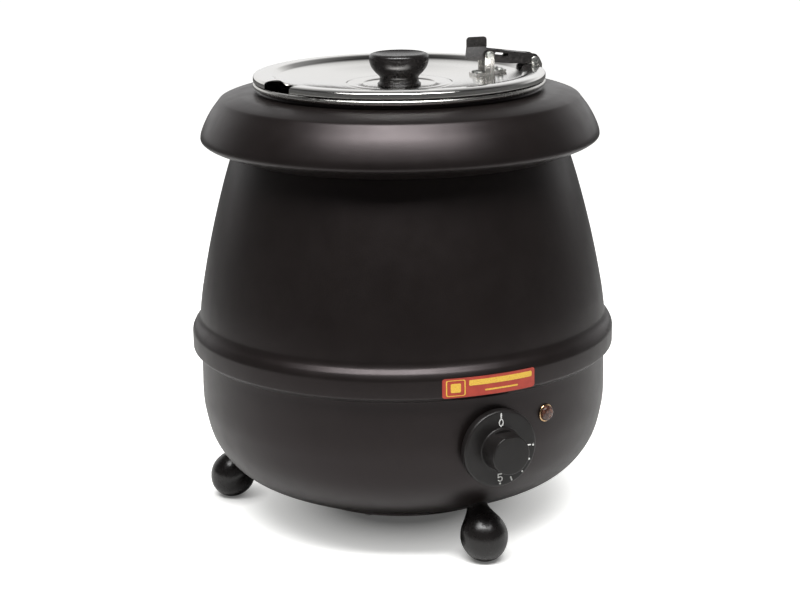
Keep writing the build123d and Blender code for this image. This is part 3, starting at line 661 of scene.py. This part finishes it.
def build_foot(node, angle):
    frame_on_shell = Matrix.Translation(FOOT_GRIP) @ Matrix.Rotation(radians(-FOOT_TILT), 4, "Y")
    ball = [(0.0, -19.8)] + smooth([(1.0, -19.8), (12.94, -14.0), (18.3, 0)], start=(1, 0), end=(0, 1), steps=14)
    side = smooth([(18.3, 0), (16.2, 9.0), (11.2, 17.0), (8.2, 23.0)], start=(0, 1), end=(-0.2, 1), steps=8)
    outline = ball + side[1:] + [(8.2, FOOT_REACH + 0.8), (0, FOOT_REACH + 0.8)]
    place = azimuth(angle) @ frame_on_shell @ Matrix.Translation((0, 0, -FOOT_REACH * MM))
    mesh = turn(outline, 96, False, place)
    sliced(mesh, (0, 0, ABOVE_FLOOR), (0, 0, -1))
    mesh.set_sharp_from_angle(angle=radians(40))
    link(node + "_look", mesh, node)


# ------------------------------------------------------------------ dial and lamp
GRIP_FLAT = 13.6          # from the dial's axis to the flat on its grip
DIAL_PLACE = Matrix.Translation((0, 0, DIAL_HEIGHT * MM)) @ Matrix.Rotation(pi / 2, 4, "X")


def build_dial():
    material = dial_plastic()
    skirt = ([(26.2, 169.6), (26.2, 165.2), (26.6, 164.9)]
             + rounded([(26.6, 164.9), (28.8, 164.9), (29.75, 166.4)], 0.6)
             + smooth([(29.75, 166.4), (29.75, 170.4), (29.2, 172.0), (27.9, 172.6)],
                      start=(0, 1), end=(-1, 0.05), steps=6)[1:])
    face = [(25, 172.6), (19, 172.6)] + smooth([(17.4, 172.6), (16.2, 172.8), (15.8, 173.8)],
                                               start=(-1, 0), end=(0, 1), steps=5)
    outline = [(0, 169.6)] + skirt + face + [(15.6, 176), (0, 176)]
    link("dial_skirt_look", turn(outline, 160, False, DIAL_PLACE), "dial", material)
    grip = [(0, 172.0), (15.86, 172.0), (15.8, 174), (15.05, 188.2)] + smooth(
        [(15.05, 188.2), (14.75, 189.2), (13.8, 189.6)], start=(-0.05, 1), end=(-1, 0), steps=5)[1:] + [(0, 189.6)]
    grip_mesh = turn(grip, 128, False)
    sliced(grip_mesh, (0, GRIP_FLAT * MM, 0), (0, 1, 0), DIAL_PLACE)
    grip_mesh.set_sharp_from_angle(angle=radians(30))
    grip_piece = link("dial_grip_look", grip_mesh, "dial", material, replaces=False)
    bevel(grip_piece, "edges", 0.5, 30, segments=3)


LAMP_PLACE = (azimuth(LAMP_AZIMUTH) @ Matrix.Translation((0, 0, LAMP_HEIGHT * MM))
              @ Matrix.Rotation(pi / 2, 4, "Y"))


def build_lamp():
    bezel = rounded([(4.3, 152), (4.95, 152), (4.95, 163.5), (7.0, 163.55), (7.0, 164.2), (6.5, 164.8),
                     (5.9, 164.8), (4.3, 164.5)], 0.25)
    turned_piece("pilot_bezel", bezel, steps=64, place=LAMP_PLACE)
    dome = [(0, 158), (4.25, 158), (4.25, 164.6), (5.7, 164.85)] + smooth(
        [(5.85, 165.1), (5.4, 166.6), (3.4, 167.6), (0, 167.85)], start=(0, 1), end=(-1, 0), steps=5)
    turned_piece("pilot_lens", dome, steps=48, closed=False, place=LAMP_PLACE)


# ------------------------------------------------------------------ build the pieces
build_base_shell()
build_upper_shell()
build_collar()
build_well()
build_pot()
build_lid()
build_knob()
for foot_node, foot_azimuth in FOOT_AZIMUTHS.items():
    build_foot(foot_node, foot_azimuth)
build_dial()
build_lamp()
for node, width in (("hinge_arm", 0.3), ("ear_bracket", 0.3), ("rim_clip", 0.25), ("base_plate", 0.4),
                    ("cord_gland", 0.35), ("gland_nut", 0.3), ("clamp_bar", 0.3), ("terminal_block", 0.4),
                    ("thermostat_body", 0.4), ("base_nut", 0.25), ("clamp_nut", 0.25), ("thermostat_nut", 0.25),
                    ("thermal_cutout", 0.25)):
    softened(node, width)


# ------------------------------------------------------------------ studio
CAMERA_TURN = Matrix.Rotation(radians(-24.5), 4, "Z")   # the camera stands 24.5 degrees to the left of the dial
CAMERA_PLACE = (-0.0018, -1.450, 0.5585)
CAMERA_PITCH = 14.95      # down from level
CAMERA_ROLL = -0.8
CAMERA_LENS = 83.07
SWEEP_TURN = 25           # the sweep stands behind the object as the camera sees it
SWEEP_WHITE = (1.0, 1.0, 0.985, 1)


def build_camera():
    data = bpy.data.cameras.new("camera")
    data.lens = CAMERA_LENS
    data.sensor_width = 36
    data.clip_end = 100
    camera = bpy.data.objects.new("camera", data)
    bpy.context.scene.collection.objects.link(camera)
    aim = Matrix.Rotation(radians(90 - CAMERA_PITCH), 4, "X") @ Matrix.Rotation(radians(CAMERA_ROLL), 4, "Z")
    camera.matrix_world = CAMERA_TURN @ Matrix.Translation(CAMERA_PLACE) @ aim
    bpy.context.scene.camera = camera


def area_light(name, place, target, width, depth, power, spread):
    data = bpy.data.lights.new(name, "AREA")
    data.shape = "RECTANGLE"
    data.size, data.size_y = width, depth
    data.energy = power
    data.spread = radians(spread)
    lamp = bpy.data.objects.new(name, data)
    bpy.context.scene.collection.objects.link(lamp)
    position = Vector(place)
    aim = (Vector(target) - position).to_track_quat("-Z", "Y").to_matrix().to_4x4()
    lamp.matrix_world = CAMERA_TURN @ Matrix.Translation(position) @ aim


def build_floor():
    """Pale paper. Its glow reaches only the camera; shadows under the kettle and round its feet are painted in by
    dimming that glow.
    """
    bm = bmesh.new()
    corners = [bm.verts.new((x, y, 0)) for x, y in ((-14, -14), (14, -14), (14, 14), (-14, 14))]
    bm.faces.new(corners)
    mesh = bpy.data.meshes.new("floor")
    bm.to_mesh(mesh)
    bm.free()
    paper = Shader("floor_paper", Specular_IOR_Level=0.0, Roughness=0.9)
    paper.surface.inputs["Emission Color"].default_value = SWEEP_WHITE
    glow = paper.add("ShaderNodeLightPath").outputs["Is Camera Ray"]
    # painted shadow: the glow is dimmed under the kettle and in a small ring round each foot
    painted_shadows = [paper.span(paper.ring_distance(), 0.08, 0.98, 0.055, 0.175)]
    for angle in FOOT_AZIMUTHS.values():
        foot = azimuth(angle) @ Vector((FOOT_CIRCLE * MM, 0, 0))
        painted_shadows.append(paper.span(paper.ring_distance((foot.x, foot.y)), 0.15, 1.0, 0.008, 0.032))
    for shade in painted_shadows:
        product = paper.add("ShaderNodeMath", operation="MULTIPLY")
        paper.join(glow, product.inputs[0])
        paper.join(shade, product.inputs[1])
        glow = product.outputs[0]
    paper.join(glow, paper.surface.inputs["Emission Strength"])
    paper.colour(paper.blend(paper.noise(3, 2), (0.79, 0.79, 0.775), (0.81, 0.81, 0.795)))
    mesh.materials.append(paper.material)
    floor = bpy.data.objects.new("floor", mesh)
    bpy.context.scene.collection.objects.link(floor)


def build_world():
    """White sweep low behind and a dim room elsewhere; the camera itself sees only the sweep's white."""
    world = bpy.data.worlds.new("studio")
    bpy.context.scene.world = world
    world.use_nodes = True
    tree = world.node_tree

    def add(kind, **settings):
        node = tree.nodes.new(kind)
        for key, value in settings.items():
            setattr(node, key, value)
        return node

    def ramp(value, low, high, stops):
        spread = add("ShaderNodeMapRange")
        spread.inputs["From Min"].default_value, spread.inputs["From Max"].default_value = low, high
        tree.links.new(value, spread.inputs["Value"])
        node = add("ShaderNodeValToRGB")
        ends = node.color_ramp.elements
        for element, (position, level) in zip(ends, (stops[0], stops[-1])):
            element.position = (position - low) / (high - low)
            element.color = (level, level, level, 1)
        for position, level in stops[1:-1]:
            ends.new((position - low) / (high - low)).color = (level, level, level, 1)
        tree.links.new(spread.outputs["Result"], node.inputs["Fac"])
        return node.outputs["Color"]

    def mix(kind, factor, first, second):
        node = add("ShaderNodeMix", data_type="RGBA", blend_type=kind)
        for socket, value in (("Factor", factor), ("A", first), ("B", second)):
            target = [i for i in node.inputs if i.name == socket and (i.type == "RGBA" or socket == "Factor")][0]
            if hasattr(value, "links"):
                tree.links.new(value, target)
            else:
                target.default_value = value
        return [o for o in node.outputs if o.type == "RGBA"][0]

    rotate = add("ShaderNodeVectorRotate", rotation_type="Z_AXIS")
    rotate.inputs["Angle"].default_value = radians(SWEEP_TURN)
    tree.links.new(add("ShaderNodeTexCoord").outputs["Generated"], rotate.inputs["Vector"])
    split = add("ShaderNodeSeparateXYZ")
    tree.links.new(rotate.outputs["Vector"], split.inputs["Vector"])
    away, height = split.outputs["Y"], split.outputs["Z"]
    sweep = mix("MULTIPLY", 1.0, ramp(height, 0, 1, ((0.0, 0.9), (0.30, 1.0), (0.55, 0.32), (1.0, 0.30))),
                ramp(away, -1, 1, ((-1.0, 0.10), (0.30, 0.14), (0.75, 1.0), (1.0, 1.0))))
    seen = mix("MIX", add("ShaderNodeLightPath").outputs["Is Camera Ray"], sweep, SWEEP_WHITE)
    tree.links.new(seen, tree.nodes["Background"].inputs["Color"])


build_camera()
build_floor()
build_world()
area_light("overhead", (-0.06, -0.85, 1.75), (0, -0.05, 0.25), 2.3, 0.6, 18, spread=80)
bpy.context.scene.view_settings.view_transform = "Standard"
